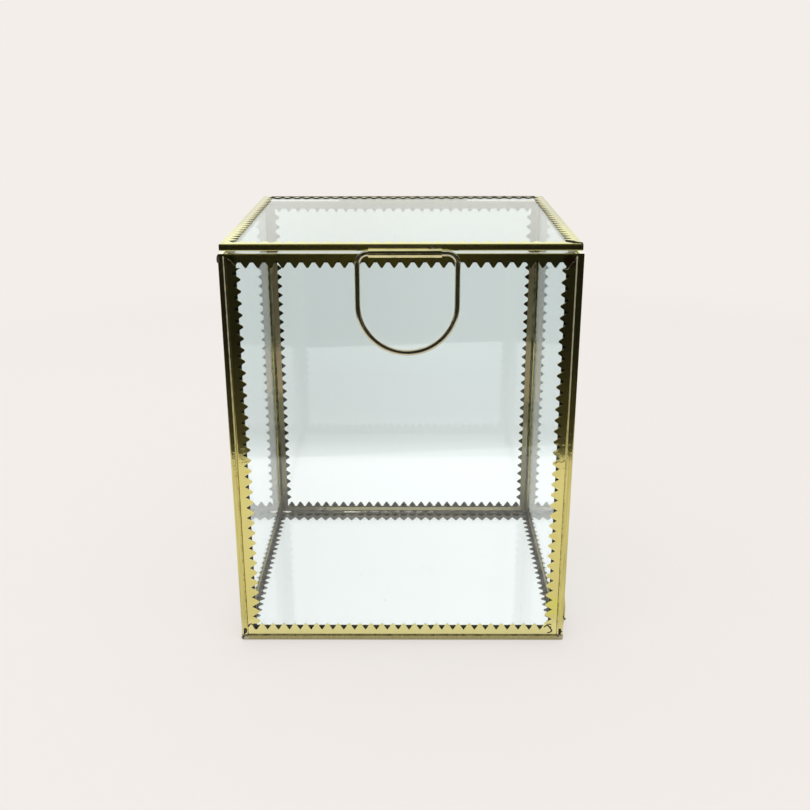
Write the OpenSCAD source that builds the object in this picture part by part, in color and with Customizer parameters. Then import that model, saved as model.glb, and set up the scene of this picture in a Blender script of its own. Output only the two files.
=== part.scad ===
// Glazed box with a hinged lid: six panes, each framed by folded edge strips
// whose outer flange is cut into teeth, soldered into a case and a lid.
// The lid swings on a three-knuckle hinge at the back and is lifted by a wire ring.

/* [Box] */
// Width of the case, left to right
case_w = 203.2; // [160:0.1:260]
// Depth of the case, front to back
case_d = 176; // [140:0.1:230]
// Height of the closed box, lid included
box_h = 254; // [180:0.1:320]
// Running gap between the rim of the case and the underside of the lid
lid_gap = 1.5; // [0.5:0.1:2]
// How far the lid stops short of each side of the case
lid_inset = 1; // [0:0.1:3]

/* [Glass] */
// Thickness of every pane
glass_t = 3; // [2:0.1:5]
// Play between a pane and the metal folded round it
glass_play = 0.1; // [0.05:0.05:0.3]

/* [Edge strips] */
// Thickness of the sheet that the strips are folded from
sheet_t = 0.4; // [0.3:0.05:0.8]
// Outside radius of the two folds of a strip
fold_r = 0.7; // [0.5:0.05:1.4]
// Width of the straight inner lip, from the outer face of the web
lip_w = 5.5; // [4:0.1:8]
// Depth of the toothed flange at the bottom of a notch
valley_w = 3.6; // [2.5:0.1:4.5]
// Depth of the toothed flange at the point of a tooth
tip_w = 8; // [6:0.1:10]
// Distance from one tooth to the next
tooth_pitch = 6.88; // [5:0.01:9]
// Width of the blunt point of a tooth
tooth_flat = 0.9; // [0.3:0.1:1.5]
// Where the lap of a cross strip over an upright begins, from its outer edge
lap_start = 1.5; // [1.45:0.05:2.5]
// Height of the slot left open at the foot of each side's front web
foot_slot_h = 4.4; // [2:0.1:8]
// Width of that slot, in the middle of the web
foot_slot_w = 1.6; // [0.8:0.1:2]

/* [Tooth positions on the front pane] */
// Shift of the teeth on the top strip
front_top_shift = 3.1; // [-3.4:0.1:3.4]
// Shift of the teeth on the bottom strip
front_bottom_shift = 0.9; // [-3.4:0.1:3.4]
// Shift of the teeth on the left upright, upwards
front_left_shift = -2.4; // [-3.4:0.1:3.4]
// Shift of the teeth on the right upright, upwards
front_right_shift = 2.6; // [-3.4:0.1:3.4]

/* [Solder] */
// Leg of the triangular solder seams inside the case
seam_leg = 2; // [1:0.1:3]
// Space left between the ends of neighbouring seams
seam_end_gap = 0.3; // [0.2:0.1:1]

/* [Rolled tubes] */
// Outside diameter of the handle tube and of the hinge knuckles
tube_od = 4.9; // [4.4:0.1:6]
// Diameter of the ring wire and of the hinge pin
wire_d = 3.2; // [2:0.1:3.4]
// Running clearance round the wire, on the radius
wire_play = 0.08; // [0.04:0.01:0.1]
// Gap between a rolled tube and the face behind it
tube_standoff = 0.3; // [0.2:0.05:0.6]
// Thickness of the flat leaf that a tube is rolled from
leaf_t = 0.45; // [0.3:0.05:0.6]
// How far a leaf stops short of the outer face of the lid
leaf_margin = 0.9; // [0.5:0.1:1.2]

/* [Handle] */
// Length of the handle tube
handle_tube_len = 40.5; // [30:0.1:60]
// Handle tube's middle, from the middle of the box
handle_x = 2.3; // [-5:0.1:5]
// Axis of the handle tube below the underside of the lid
handle_drop = 0.7; // [0.4:0.1:1.5]
// How far the straight of the ring is longer than the tube, in all
ring_slack = 3; // [1:0.1:5]
// Gap left between the left end of the tube and the bend of the ring
ring_end_gap = 0.2; // [0.1:0.1:0.5]
// Radius of the two upper bends of the ring, on its centre line
ring_bend_r = 6.1; // [4:0.1:10]
// Drop of the ring from the tube's axis to its lowest centre line
ring_drop = 57.3; // [45:0.1:70]

/* [Hinge] */
// Length of each of the three knuckles
knuckle_len = 30; // [20:0.5:45]
// Gap between neighbouring knuckles
knuckle_gap = 0.4; // [0.2:0.1:1]
// Height of the leaf below the hinge axis on the back of the case
case_leaf_h = 6.5; // [4:0.1:12]
// Diameter of the riveted heads of the hinge pin
pin_head_d = 4; // [3.2:0.1:4.4]
// Thickness of the riveted heads of the hinge pin
pin_head_t = 0.9; // [0.5:0.1:2]

/* [Hidden] */
$fn = 48;
// Thickness of a framed pane over its two folds
pane_t = glass_t + 2 * (sheet_t + glass_play);
// Rim of the case, and underside of the lid
rim_z = box_h - pane_t - lid_gap;
lid_z = box_h - pane_t;
// Panes: the walls stand on the base, and front and back fit between the sides
wall_h = rim_z - pane_t;
inner_w = case_w - 2 * pane_t;
inner_d = case_d - 2 * pane_t;
lid_w = case_w - 2 * lid_inset;
// Rolled tubes: bore, and how far their axes stand outside the case
bore_d = wire_d + 2 * wire_play;
axis_out = case_d / 2 + tube_standoff + tube_od / 2;
hinge_z = rim_z + lid_gap / 2;
handle_z = lid_z - handle_drop;
// Ring: half of its straight and half of its width, on the centre line
ring_straight = (handle_tube_len + ring_slack) / 2;
ring_half_w = ring_straight + ring_bend_r;
ring_x = handle_x - handle_tube_len / 2 - ring_end_gap + ring_straight;
// Hinge: from the middle of one knuckle to the middle of the next, and length in all
knuckle_step = knuckle_len + knuckle_gap;
hinge_len = 2 * knuckle_step + knuckle_len;
// Overshoot of cutting tools past the surfaces that they cut
over = 1;
// Room that a framed corner takes up along each of its two edges
corner_w = tip_w + over;

BRASS = [0.84, 0.76, 0.45];
PALE_BRASS = [0.88, 0.82, 0.55];
WIRE = [0.78, 0.69, 0.38];
GLASS = [0.82, 0.9, 0.88, 0.35];
TIN = [0.72, 0.71, 0.66];

// ---- Places of the six panes -------------------------------------------
// A pane's own frame has X to the right and Y up as seen from outside,
// its lower left corner at the origin and its outer face at z = 0.

module on_front() { translate([-inner_w / 2, -case_d / 2, pane_t]) rotate([90, 0, 0]) children(); }
module on_back() { translate([inner_w / 2, case_d / 2, pane_t]) rotate([90, 0, 180]) children(); }
module on_left() { translate([-case_w / 2, case_d / 2, pane_t]) rotate([90, 0, -90]) children(); }
module on_right() { translate([case_w / 2, -case_d / 2, pane_t]) rotate([90, 0, 90]) children(); }
module on_base() { translate([-case_w / 2, case_d / 2, 0]) rotate([180, 0, 0]) children(); }
module on_lid() { translate([-lid_w / 2, -case_d / 2, box_h]) children(); }

// The four edges of a pane w wide and h high; a strip runs along X, its web at y = 0
module at_top(w, h) { translate([w, h, 0]) rotate([0, 0, 180]) children(); }
module at_left(h) { translate([0, h, 0]) rotate([0, 0, -90]) children(); }
module at_right(w) { translate([w, 0, 0]) rotate([0, 0, 90]) children(); }

// ---- Folded edge strip ---------------------------------------------------

// Everything inside the fold, from a given depth under its outer surface
module fold_outline(depth, reach) {
    for (z = [-fold_r, fold_r - pane_t]) {
        translate([fold_r, z]) circle(r = fold_r - depth);
    }
    translate([depth, fold_r - pane_t]) square([reach - depth, pane_t - 2 * fold_r]);
    translate([fold_r, depth - pane_t]) square([reach - fold_r, pane_t - 2 * depth]);
}

// Section of a strip: wide outer flange at the top, web at the left, lip below
module strip_section() {
    difference() {
        fold_outline(0, tip_w);
        fold_outline(sheet_t, tip_w + over);
        translate([lip_w, -pane_t - over]) square([tip_w, pane_t / 2 + over]);
    }
}

// Plan of all that the teeth leave open beside a strip, a zigzag on its near side
module notch_plan(len, shift) {
    reach = ceil((len / 2 + abs(shift)) / tooth_pitch) + 1;
    teeth = [for (n = [-reach:reach]) len / 2 + shift + n * tooth_pitch];
    zigzag = [
        for (x = teeth) each [
            [x - tooth_flat / 2, tip_w],
            [x + tooth_flat / 2, tip_w],
            [x + tooth_pitch / 2, valley_w]
        ]
    ];
    far = tip_w + 2 * over;
    last = zigzag[len(zigzag) - 1];
    polygon(concat(zigzag, [[last[0], far], [zigzag[0][0], far]]));
}

// Cut through the outer flange alone
module flange_cut() {
    translate([0, 0, -pane_t / 2]) linear_extrude(pane_t / 2 + over) children();
}

// Strip along one edge of a pane, mitred at both ends; a lapped strip's flange
// runs on over the ends of its neighbours
module strip(len, shift, lapped) {
    difference() {
        union() {
            intersection() {
                rotate([90, 0, 90]) linear_extrude(len) strip_section();
                translate([0, 0, -pane_t - over]) linear_extrude(pane_t + 2 * over)
                    polygon([[0, 0], [len, 0], [len - corner_w, corner_w], [corner_w, corner_w]]);
            }
            if (lapped) {
                translate([lap_start, lap_start, -sheet_t])
                    cube([len - 2 * lap_start, tip_w - lap_start, sheet_t]);
            }
        }
        flange_cut() notch_plan(len, shift);
    }
}

// Plan of one lapped end: the neighbour's solid band follows the cross strip's
// edge, and its teeth are cut off straight
module lap_end(len, shift) {
    difference() {
        translate([lap_start, -over]) square([valley_w - lap_start, corner_w + over]);
        notch_plan(len, shift);
    }
    translate([valley_w, -over]) square([corner_w - valley_w, tip_w + over]);
}

module lap_plan(len, shift) {
    lap_end(len, shift);
    translate([len, 0]) mirror([1, 0]) lap_end(len, -shift);
}

// What the cross strips of a w by h pane take from its uprights
module lap_cuts(w, h, bottom_shift, top_shift) {
    flange_cut() lap_plan(w, bottom_shift);
    flange_cut() at_top(w, h) lap_plan(w, top_shift);
}

// The four strips of a pane. Each shift moves the teeth right or up.
module bottom_strip(w, shift = 0) {
    strip(w, shift, true);
}

module top_strip(w, h, shift = 0) {
    at_top(w, h) strip(w, -shift, true);
}

module left_strip(w, h, shift = 0, bottom_shift = 0, top_shift = 0) {
    difference() {
        at_left(h) strip(h, -shift, false);
        lap_cuts(w, h, bottom_shift, -top_shift);
    }
}

module right_strip(w, h, shift = 0, bottom_shift = 0, top_shift = 0) {
    difference() {
        at_right(w) strip(h, shift, false);
        lap_cuts(w, h, bottom_shift, -top_shift);
    }
}

// Slot at the foot of an upright's web, whose outer face is at x
module foot_slot(x) {
    translate([x - over, -over, -(pane_t + foot_slot_w) / 2])
        cube([2 * over, foot_slot_h + over, foot_slot_w]);
}

// Pane of glass inside its four strips; its edges stop where the folds begin
module pane(w, h) {
    bed = sheet_t + glass_play;
    translate([fold_r, fold_r, bed - pane_t]) cube([w - 2 * fold_r, h - 2 * fold_r, glass_t]);
}

// ---- Glass ---------------------------------------------------------------

module front_glass() { color(GLASS) on_front() pane(inner_w, wall_h); }
module back_glass() { color(GLASS) on_back() pane(inner_w, wall_h); }
module left_glass() { color(GLASS) on_left() pane(case_d, wall_h); }
module right_glass() { color(GLASS) on_right() pane(case_d, wall_h); }
module base_glass() { color(GLASS) on_base() pane(case_w, case_d); }
module lid_glass() { color(GLASS) on_lid() pane(lid_w, case_d); }

// ---- Strips of the front pane ---------------------------------------------

module front_top_channel() { color(BRASS) on_front() top_strip(inner_w, wall_h, front_top_shift); }
module front_bottom_channel() { color(BRASS) on_front() bottom_strip(inner_w, front_bottom_shift); }

module front_left_channel() {
    color(BRASS) on_front()
        left_strip(inner_w, wall_h, front_left_shift, front_bottom_shift, front_top_shift);
}

module front_right_channel() {
    color(BRASS) on_front()
        right_strip(inner_w, wall_h, front_right_shift, front_bottom_shift, front_top_shift);
}

// ---- Strips of the back pane ----------------------------------------------

module back_top_channel() { color(BRASS) on_back() top_strip(inner_w, wall_h); }
module back_bottom_channel() { color(BRASS) on_back() bottom_strip(inner_w); }
module back_left_channel() { color(BRASS) on_back() right_strip(inner_w, wall_h); }
module back_right_channel() { color(BRASS) on_back() left_strip(inner_w, wall_h); }

// ---- Strips of the side panes ---------------------------------------------

module left_top_channel() { color(BRASS) on_left() top_strip(case_d, wall_h); }
module left_bottom_channel() { color(BRASS) on_left() bottom_strip(case_d); }

module left_front_channel() {
    color(BRASS) on_left() difference() {
        right_strip(case_d, wall_h);
        foot_slot(case_d);
    }
}

module left_rear_channel() { color(BRASS) on_left() left_strip(case_d, wall_h); }
module right_top_channel() { color(BRASS) on_right() top_strip(case_d, wall_h); }
module right_bottom_channel() { color(BRASS) on_right() bottom_strip(case_d); }

module right_front_channel() {
    color(BRASS) on_right() difference() {
        left_strip(case_d, wall_h);
        foot_slot(0);
    }
}

module right_rear_channel() { color(BRASS) on_right() right_strip(case_d, wall_h); }

// ---- Strips of the base and the lid ---------------------------------------

module base_front_channel() { color(BRASS) on_base() top_strip(case_w, case_d); }
module base_rear_channel() { color(BRASS) on_base() bottom_strip(case_w); }
module base_left_channel() { color(BRASS) on_base() left_strip(case_w, case_d); }
module base_right_channel() { color(BRASS) on_base() right_strip(case_w, case_d); }
module lid_front_channel() { color(PALE_BRASS) on_lid() bottom_strip(lid_w); }
module lid_rear_channel() { color(PALE_BRASS) on_lid() top_strip(lid_w, case_d); }
module lid_left_channel() { color(PALE_BRASS) on_lid() left_strip(lid_w, case_d); }
module lid_right_channel() { color(PALE_BRASS) on_lid() right_strip(lid_w, case_d); }

// ---- Solder seams inside the case -----------------------------------------

// Right-angled fillet of solder along +Z, its corner at the origin
module seam(len) {
    linear_extrude(len) polygon([[0, 0], [seam_leg, 0], [0, seam_leg]]);
}

// One seam in each upright corner, standing on the base
module upright_seams() {
    color(TIN) for (sx = [0, 1], sy = [0, 1]) {
        mirror([sx, 0, 0]) mirror([0, sy, 0])
            translate([-inner_w / 2, -inner_d / 2, pane_t]) seam(wall_h);
    }
}

// One seam along the foot of each wall, between the uprights
module base_seams() {
    end = seam_leg + seam_end_gap;
    color(TIN) {
        for (s = [0, 1]) {
            mirror([0, s, 0]) translate([end - inner_w / 2, -inner_d / 2, pane_t])
                rotate([90, 0, 90]) seam(inner_w - 2 * end);
            mirror([s, 0, 0]) translate([-inner_w / 2, inner_d / 2 - end, pane_t])
                rotate([90, 0, 0]) seam(inner_d - 2 * end);
        }
    }
}

// ---- Hinge ------------------------------------------------------------------

// Tube along X rolled from a leaf, with its axis at the origin. The leaf lies
// flat behind it, from the axis up to leaf_h above it.
module rolled_tube(len, leaf_h) {
    difference() {
        union() {
            rotate([0, 90, 0]) cylinder(d = tube_od, h = len, center = true);
            translate([-len / 2, tube_od / 2 + tube_standoff - leaf_t, 0]) cube([len, leaf_t, leaf_h]);
        }
        rotate([0, 90, 0]) cylinder(d = bore_d, h = len + 2 * over, center = true);
    }
}

// Knuckle on the back of the box; its leaf points down the case or up the lid
module knuckle(x, leaf_h, up) {
    translate([x, axis_out, hinge_z]) rotate([0, up ? 0 : 180, 0]) rotate([0, 0, 180])
        rolled_tube(knuckle_len, leaf_h);
}

module hinge_left_knuckle() { color(BRASS) knuckle(-knuckle_step, case_leaf_h, false); }
module hinge_right_knuckle() { color(BRASS) knuckle(knuckle_step, case_leaf_h, false); }
module hinge_middle_knuckle() { color(PALE_BRASS) knuckle(0, box_h - leaf_margin - hinge_z, true); }

// Pin through the three knuckles, riveted over at both ends
module hinge_pin() {
    color(WIRE) translate([0, axis_out, hinge_z]) rotate([0, 90, 0]) {
        cylinder(d = wire_d, h = hinge_len + 2 * wire_play + pin_head_t, center = true);
        for (s = [-1, 1]) {
            translate([0, 0, s * (hinge_len / 2 + wire_play + pin_head_t / 2)])
                cylinder(d = pin_head_d, h = pin_head_t, center = true);
        }
    }
}

// ---- Handle -----------------------------------------------------------------

module handle_tube() {
    color(PALE_BRASS) translate([handle_x, -axis_out, handle_z])
        rolled_tube(handle_tube_len, box_h - leaf_margin - handle_z);
}

// Bent stretch of the ring's wire, a given number of degrees round Z
module wire_bend(r, angle) {
    rotate_extrude(angle = angle) translate([r, 0]) circle(d = wire_d);
}

// Ring of wire: a straight in the tube, two bends, two arms and a round foot
module handle_ring() {
    arm = ring_drop - ring_bend_r - ring_half_w;
    color(WIRE) translate([ring_x, -axis_out, handle_z]) {
        rotate([0, 90, 0]) cylinder(d = wire_d, h = 2 * ring_straight, center = true);
        for (s = [0, 1]) {
            mirror([s, 0, 0]) {
                translate([ring_straight, 0, -ring_bend_r]) rotate([90, 0, 0]) wire_bend(ring_bend_r, 90);
                translate([ring_half_w, 0, -ring_bend_r - arm]) cylinder(d = wire_d, h = arm);
            }
        }
        translate([0, 0, -ring_bend_r - arm]) rotate([90, 0, 0]) rotate([0, 0, 180])
            wire_bend(ring_half_w, 180);
    }
}

front_glass();
back_glass();
left_glass();
right_glass();
base_glass();
lid_glass();
front_top_channel();
front_bottom_channel();
front_left_channel();
front_right_channel();
back_top_channel();
back_bottom_channel();
back_left_channel();
back_right_channel();
left_top_channel();
left_bottom_channel();
left_front_channel();
left_rear_channel();
right_top_channel();
right_bottom_channel();
right_front_channel();
right_rear_channel();
base_front_channel();
base_rear_channel();
base_left_channel();
base_right_channel();
lid_front_channel();
lid_rear_channel();
lid_left_channel();
lid_right_channel();
upright_seams();
base_seams();
hinge_left_knuckle();
hinge_middle_knuckle();
hinge_right_knuckle();
hinge_pin();
handle_tube();
handle_ring();
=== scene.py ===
"""Looks of a glazed card box: six panes in folded brass strips with pinked edges,
a hinged lid and a wire ring handle. Metres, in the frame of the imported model:
X to the right, Y to the back, Z up."""

import math
from functools import reduce

import bpy
import numpy as np
from mathutils import Matrix, Vector


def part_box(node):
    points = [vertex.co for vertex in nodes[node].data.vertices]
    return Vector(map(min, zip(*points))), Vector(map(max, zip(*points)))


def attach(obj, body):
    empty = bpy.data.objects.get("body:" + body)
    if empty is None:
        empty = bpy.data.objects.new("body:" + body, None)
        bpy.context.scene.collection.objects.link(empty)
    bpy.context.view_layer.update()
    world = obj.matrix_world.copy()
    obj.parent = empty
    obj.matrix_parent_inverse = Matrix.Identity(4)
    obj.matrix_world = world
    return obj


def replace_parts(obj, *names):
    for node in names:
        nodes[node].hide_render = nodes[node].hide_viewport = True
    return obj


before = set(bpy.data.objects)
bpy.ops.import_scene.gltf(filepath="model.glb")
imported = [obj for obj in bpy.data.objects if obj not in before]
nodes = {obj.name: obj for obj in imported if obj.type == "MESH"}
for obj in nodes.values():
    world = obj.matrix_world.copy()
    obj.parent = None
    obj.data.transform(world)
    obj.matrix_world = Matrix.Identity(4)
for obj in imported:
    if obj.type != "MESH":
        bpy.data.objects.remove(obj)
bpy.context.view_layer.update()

# ---- Sizes, read from the frame where it has them -----------------------------

MM = 0.001
SIDE_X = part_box("right_front_channel")[1].x     # outer face of the side panes
FRONT_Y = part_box("front_top_channel")[0].y      # outer face of the front pane
BACK_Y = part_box("back_top_channel")[1].y        # outer face of the back pane
RIM_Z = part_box("front_top_channel")[1].z        # rim of the case
FLOOR_OF_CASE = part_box("base_front_channel")[1].z
INNER_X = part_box("front_top_channel")[1].x      # inner face of the side panes
INNER_Y = BACK_Y - FLOOR_OF_CASE                # inner face of the front and back panes
LID_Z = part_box("lid_front_channel")[0].z        # underside of the lid
TOP_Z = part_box("lid_front_channel")[1].z        # and its top
LID_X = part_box("lid_front_channel")[1].x        # its outer face at the sides
PANE_T = FLOOR_OF_CASE                          # every framed pane is as thick as the base
SHEET_T = 0.4 * MM                              # sheet that the strips are folded from
LIP_TOP = FLOOR_OF_CASE + 5.5 * MM              # upper edge of the lips at the foot
TIP_W = 8 * MM                                  # flange from its fold to the points of its teeth
VALLEY_W = 3.6 * MM                             # flange from its fold to the bottom of a notch
TOOTH_PITCH = 6.88 * MM                         # from one tooth to the next

# ---- Surfaces -------------------------------------------------------------------

UPWARD = (0, 0, 1)
TO_FRONT = (0, -1, 0)
TO_BACK = (0, 1, 0)
RIPPLE_LENGTH = 9 * MM       # longest wave in a run of solder
FILLET_STEP = 1.2 * MM       # from one ring of a fillet to the next
FILLET_SWELL = 0.16          # share of its legs that the ripple moves
BEAD_STEP = 0.35 * MM        # the same of a bead
BEAD_SWELL = 0.25
BEAD_SIDES = 8
POLE_TILT = 0.08             # the first and last ring of a drop are this far from its poles


def mm(*values):
    """Millimetres as metres."""
    return tuple(value * MM for value in values)


def skin(name, *tubes):
    """Closed skins in one mesh. A tube is an array of rings (ring, point, xyz) whose points go
    round the way ahead as a right-handed screw turns: each ring is joined to the next, and the
    first and the last ring are closed by a fan to their middle."""
    verts, faces, base = [], [], 0
    for rings in tubes:
        count, width = rings.shape[:2]
        here = base + np.arange(count * width).reshape(count, width)
        after = np.roll(here, -1, axis=1)
        start, end = base + count * width, base + count * width + 1
        sides = np.stack([here[:-1], after[:-1], after[1:], here[1:]], axis=-1)
        verts.append(np.concatenate([rings.reshape(-1, 3), rings[[0, -1]].mean(axis=1)]))
        faces += sides.reshape(-1, 4).tolist()
        faces += np.stack([after[0], here[0], np.full(width, start)], axis=-1).tolist()
        faces += np.stack([here[-1], after[-1], np.full(width, end)], axis=-1).tolist()
        base = end + 1
    mesh = bpy.data.meshes.new(name)
    mesh.from_pydata(np.concatenate(verts), [], faces)
    mesh.polygons.foreach_set("use_smooth", np.ones(len(faces), bool))
    piece = bpy.data.objects.new(name, mesh)
    bpy.context.scene.collection.objects.link(piece)
    return piece


def ripple(s, seed):
    """Slow unevenness of hand work along s in metres: a sum of four sines, each shorter and
    lower than the one before and with a phase from the seed, scaled to lie between -1 and 1."""
    draw = np.random.default_rng(seed)
    order = np.arange(4)
    length = RIPPLE_LENGTH / 1.7 ** order
    share = 0.62 ** order
    phase = draw.uniform(0, 2 * math.pi, len(order))
    wave = np.sin(2 * math.pi * s[:, None] / length + phase) * share
    return wave.sum(axis=1) / share.sum()


def fillet(start, along, side_a, side_b, length, leg, seed):
    """Fillet of solder in a corner: two legs and a curve halfway between their chord and the
    quarter circle that touches both, carried from start along a line, with legs that swell and
    shrink by the ripple. side_a and side_b point away from the corner. They change places where
    side_a, side_b and along make a left-handed screw."""
    a, b, t = (np.asarray(v, float) for v in (side_a, side_b, along))
    if np.cross(a, b) @ t < 0:
        a, b = b, a
    s = np.linspace(0, length, max(int(length / FILLET_STEP), 2))
    size = leg * (1 - FILLET_SWELL + FILLET_SWELL * ripple(s, seed))
    turn = np.linspace(0, math.pi / 2, 7)
    circle = np.stack([1 - np.sin(turn), 1 - np.cos(turn)], axis=-1)
    chord = np.stack([1 - turn / turn[-1], turn / turn[-1]], axis=-1)
    profile = np.concatenate([np.zeros((1, 2)), (circle + chord) / 2])
    rings = size[:, None, None] * (profile[None, :, :1] * a + profile[None, :, 1:] * b)
    return rings + np.asarray(start, float) + s[:, None, None] * t


def bead(points, radius, flat, normal, seed):
    """Bead of solder drawn along points on a face: rings round the path, radius wide and
    flattened by flat along the face's normal, that swell by the ripple and close at both ends
    as the root of a half circle does."""
    points = np.asarray(points, float)
    step = np.linalg.norm(np.diff(points, axis=0), axis=1)
    at = np.concatenate([[0], np.cumsum(step)])
    s = np.linspace(0, at[-1], max(int(at[-1] / BEAD_STEP), 6))
    path = np.stack([np.interp(s, at, points[:, i]) for i in range(3)], axis=-1)
    ahead = np.gradient(path, axis=0)
    ahead /= np.linalg.norm(ahead, axis=1, keepdims=True)
    up = np.asarray(normal, float)
    side = np.cross(up, ahead)
    side /= np.linalg.norm(side, axis=1, keepdims=True)
    edge = np.clip(np.minimum(s, at[-1] - s) / radius, 0.02, 1)
    size = radius * np.sqrt(1 - (1 - edge) ** 2) * (1 + BEAD_SWELL * ripple(s, seed))
    turn = np.linspace(0, 2 * math.pi, BEAD_SIDES, endpoint=False)
    ring = (np.sin(turn)[None, :, None] * side[:, None] * -1
            + np.cos(turn)[None, :, None] * flat * up)
    return path[:, None] + size[:, None, None] * ring


def drop(centre, radii, seed, rows=9, sides=12):
    """Set drop of solder: a ball of the given half sizes, whose radius is uneven by a few sines
    in height and turn."""
    draw = np.random.default_rng(seed)
    tilt = np.linspace(POLE_TILT, math.pi - POLE_TILT, rows)[:, None]
    turn = np.linspace(0, 2 * math.pi, sides, endpoint=False)[None, :]
    phase = draw.uniform(0, 2 * math.pi, 3)
    swell = (1 + 0.1 * np.sin(2 * turn + phase[0]) * np.sin(tilt)
             + 0.08 * np.sin(3 * tilt + phase[1]))
    swell = swell / swell.max()
    shape = np.stack([np.sin(tilt) * np.cos(turn), np.sin(tilt) * np.sin(turn),
                      -np.cos(tilt) * np.ones_like(turn)], axis=-1)
    return np.asarray(centre, float) + shape * swell[..., None] * np.asarray(radii, float)


def plate(outline, near, far):
    """Flat plate standing across Y: an outline of (x, z) points that runs from Z to X, carried
    from y = near to y = far."""
    flat = np.asarray(outline, float)
    return np.stack([np.insert(flat, 1, y, axis=1) for y in (near, far)])


# ---- Shader nodes ----------------------------------------------------------------


def feed(tree, value, socket):
    """Gives an input socket its value: another node's output, a number, a vector or a colour."""
    if isinstance(value, bpy.types.NodeSocket):
        tree.links.new(value, socket)
    elif socket.type == "RGBA":
        socket.default_value = (*value, 1)
    else:
        socket.default_value = value


def add_node(tree, kind, inputs=(), **settings):
    """New shader node. settings are its own properties, and inputs maps the names or places of
    its input sockets to their values."""
    node = tree.nodes.new("ShaderNode" + kind)
    for key, value in settings.items():
        setattr(node, key, value)
    for key, value in dict(inputs).items():
        feed(tree, value, node.inputs[key])
    return node


def math_node(tree, operation, *values):
    """Math node whose inputs are sockets or numbers. Returns its output socket."""
    return add_node(tree, "Math", enumerate(values), operation=operation).outputs[0]


def all_of(tree, *masks):
    """Product of masks: 1 where every one of them is 1."""
    return reduce(lambda first, second: math_node(tree, "MULTIPLY", first, second), masks)


def any_of(tree, *masks):
    """Largest of masks: 1 where one of them is 1."""
    return reduce(lambda first, second: math_node(tree, "MAXIMUM", first, second), masks)


def smooth_step(tree, value, start, end):
    """0 before start, 1 beyond end, with a smooth passage. With start above end it falls."""
    first, last = (0, 1) if start < end else (1, 0)
    span = {"Value": value, "From Min": min(start, end), "From Max": max(start, end),
            "To Min": first, "To Max": last}
    return add_node(tree, "MapRange", span, interpolation_type="SMOOTHSTEP").outputs["Result"]


def noise(tree, vector, scale, detail=2.0, roughness=0.5):
    """Noise texture read at a vector in metres. Returns its value socket."""
    given = {"Vector": vector, "Scale": scale, "Detail": detail, "Roughness": roughness}
    return add_node(tree, "TexNoise", given).outputs["Fac"]


def object_point(tree):
    """Object coordinates, and the same as three numbers."""
    point = add_node(tree, "TexCoord").outputs["Object"]
    return point, add_node(tree, "SeparateXYZ", {0: point}).outputs


def distance(tree, point, centre):
    """Distance in metres of a point from another."""
    measured = add_node(tree, "VectorMath", {0: point, 1: centre}, operation="DISTANCE")
    return measured.outputs["Value"]


def from_origin(tree, point):
    """Distance in metres of a point from the origin."""
    return add_node(tree, "VectorMath", {0: point}, operation="LENGTH").outputs["Value"]


def blend_value(tree, share, first, second):
    """Mix of two numbers by a share."""
    return add_node(tree, "Mix", {0: share, 2: first, 3: second}).outputs[0]


def blend_colour(tree, share, first, second, how="MIX"):
    """Mix of two colours, each a socket or an RGB triple, by a share."""
    given = {0: share, 6: first, 7: second}
    return add_node(tree, "Mix", given, data_type="RGBA", blend_type=how).outputs[2]


def multiply_colour(tree, first, second):
    """Product of two colours."""
    return blend_colour(tree, 1.0, first, second, how="MULTIPLY")


def bumped(tree, height, proud):
    """Normal from a height, where a height of 1 stands proud by this distance."""
    given = {"Strength": 1.0, "Distance": proud, "Height": height}
    return add_node(tree, "Bump", given).outputs["Normal"]


def mix_shaders(tree, share, first, second):
    """Mix of two shaders by a share."""
    return add_node(tree, "MixShader", {0: share, 1: first, 2: second}).outputs[0]


def emission(tree, colour):
    """Plain light of one colour."""
    return add_node(tree, "Emission", {"Color": colour, "Strength": 1.0}).outputs[0]


# ---- Shader node groups ----------------------------------------------------------


def open_group(name, inputs):
    """New shader node group, whose inputs have these names and defaults. Returns its tree and
    the sockets that its inputs arrive at."""
    tree = bpy.data.node_groups.new(name, "ShaderNodeTree")
    for label, value in inputs.items():
        socket = tree.interface.new_socket(label, in_out="INPUT", socket_type="NodeSocketFloat")
        socket.default_value = value
    return tree, tree.nodes.new("NodeGroupInput").outputs


def close_group(tree, outputs):
    """Gives a group one output for each of these values. Returns the finished group."""
    for label in outputs:
        tree.interface.new_socket(label, in_out="OUTPUT", socket_type="NodeSocketFloat")
    result = tree.nodes.new("NodeGroupOutput")
    for label, value in outputs.items():
        feed(tree, value, result.inputs[label])
    return tree


DENTS_PER_METRE = 420.0
DENT_EDGE = (0.5, 0.8)          # the noise turns into dents between these values
CLOUDS_PER_METRE = 55.0
CLOUD_EDGE = (0.42, 0.7)
RAGS_PER_METRE = 420.0          # of a stain's ragged edge
RAG_DEPTH = 1.2                 # in radii of the stain
STAIN_EDGE = (1.7, 1.2)
UPPER_WALL = mm(90, 200)        # between these heights the lips turn darker by a painted shade
FOOT_OF_WALL = mm(18, 9)        # and between these the strips turn paler
FACING = 0.9                    # least part of a face's normal along the axis it looks along
HAIR = 0.1 * MM                 # slack round a face that a mask picks out


def hand_folded_group():
    """Height of sheet folded by hand: long waves, and small dents that are rarer."""
    tree, given = open_group("hand folded sheet", {"Wave per metre": 70.0, "Wave height": 0.05,
                                                   "Dent height": 0.02})
    point, _ = object_point(tree)
    wave = noise(tree, point, given["Wave per metre"], 1.0)
    dents = smooth_step(tree, noise(tree, point, DENTS_PER_METRE), *DENT_EDGE)
    high = math_node(tree, "MULTIPLY", wave, given["Wave height"])
    low = math_node(tree, "MULTIPLY", dents, given["Dent height"])
    return close_group(tree, {"Height": math_node(tree, "ADD", high, low)})


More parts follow.
